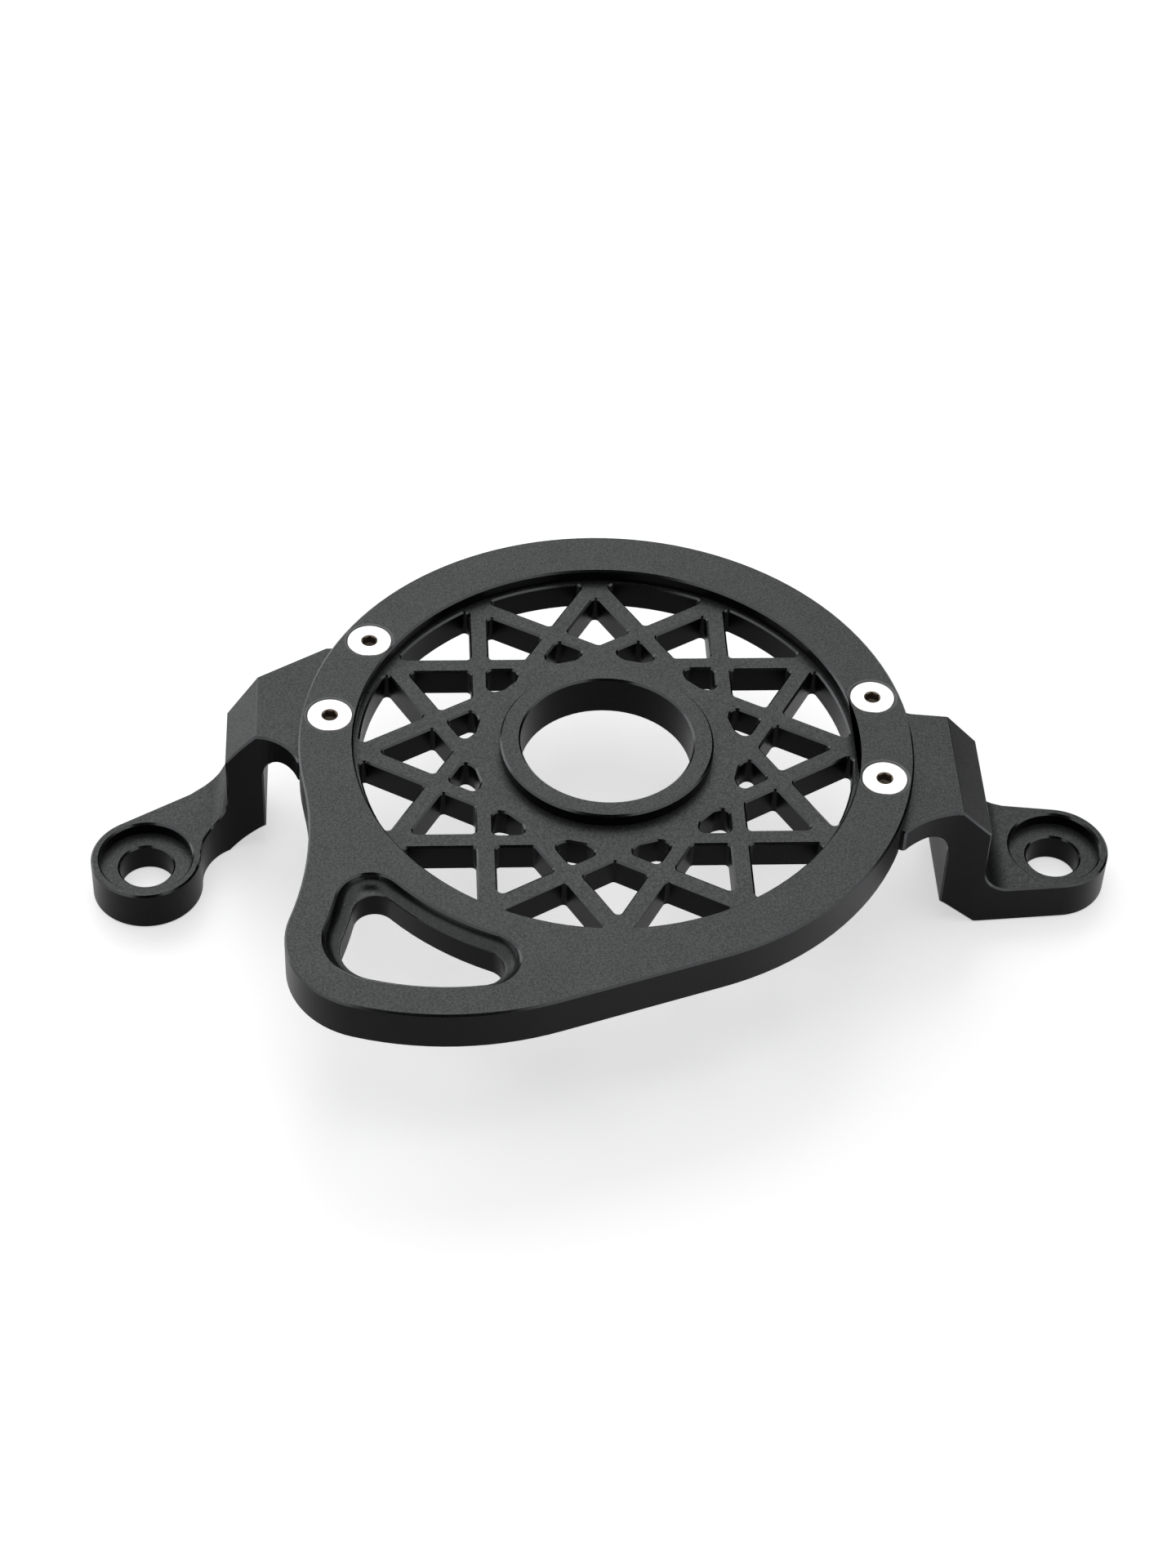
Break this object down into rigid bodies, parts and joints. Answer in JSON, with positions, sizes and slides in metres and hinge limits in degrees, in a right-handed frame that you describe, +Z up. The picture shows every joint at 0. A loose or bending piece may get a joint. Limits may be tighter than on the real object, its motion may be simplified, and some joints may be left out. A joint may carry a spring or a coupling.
{
  "type": "electric motor cover",
  "caption": "Round motor cover plate pierced with a star lattice, with a slotted lobe, a raised hub bore and stepped side brackets that end in counterbored bolt eyes.",
  "frame": {"origin": "centre of the hub bore, level with the top face of the ring", "axes": "+Z up along the bore, away from the feet; +X towards the right bracket; -Y towards the slotted lobe"},
  "size_m": [0.2284, 0.1467, 0.039],
  "materials": {
    "black_anodised_aluminium": "machined, fine bead-blasted and black anodised",
    "stainless_steel": "bright turned"
  },
  "bodies": {
    "root": {"cover_plate": "black_anodised_aluminium", "left_bracket": "black_anodised_aluminium", "right_bracket": "black_anodised_aluminium", "left_rear_screw": "stainless_steel", "left_front_screw": "stainless_steel", "right_rear_screw": "stainless_steel", "right_front_screw": "stainless_steel"}
  },
  "joints": []
}
